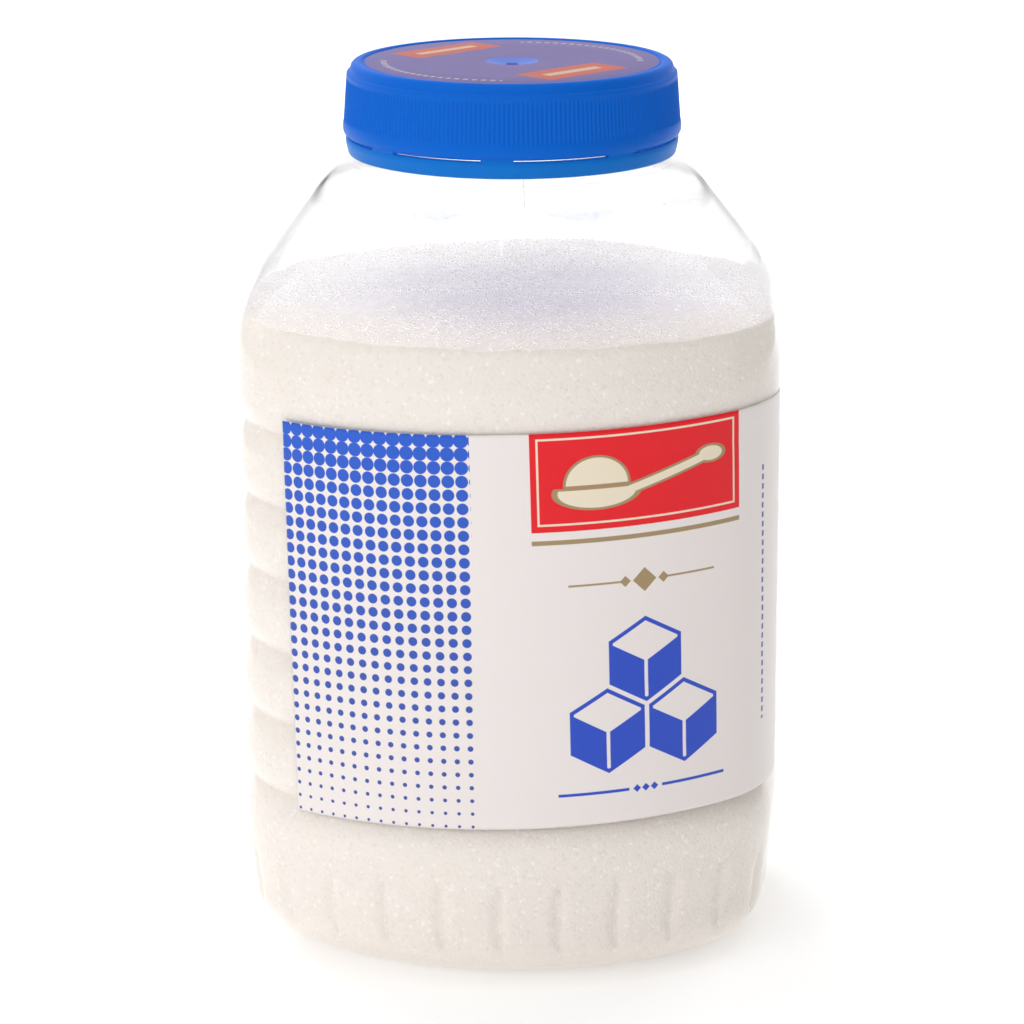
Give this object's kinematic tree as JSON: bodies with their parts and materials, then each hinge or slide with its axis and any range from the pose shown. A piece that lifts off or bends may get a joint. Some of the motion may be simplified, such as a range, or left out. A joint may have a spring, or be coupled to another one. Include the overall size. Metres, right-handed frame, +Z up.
{
  "type": "jar of sugar",
  "caption": "Shut clear jar with a rounded square ribbed body, fluted foot and wrap label, full of granulated sugar under a knurled screw cap with a tamper band.",
  "frame": {"origin": "on the floor under the middle of the jar", "axes": "+Z up along the jar's axis, -Y out of the front, where the label is, +X to the label's right"},
  "size_m": [0.1092, 0.1096, 0.1754],
  "materials": {
    "jar": "clear, blown, glossy",
    "sugar": "fine white crystals with small sparkles",
    "label": "printed white film, satin",
    "cap": "blue moulded plastic, satin, slightly translucent, matte printed top"
  },
  "bodies": {
    "root": {"jar": "jar", "sugar": "sugar", "label": "label", "cap": "cap"}
  },
  "joints": []
}
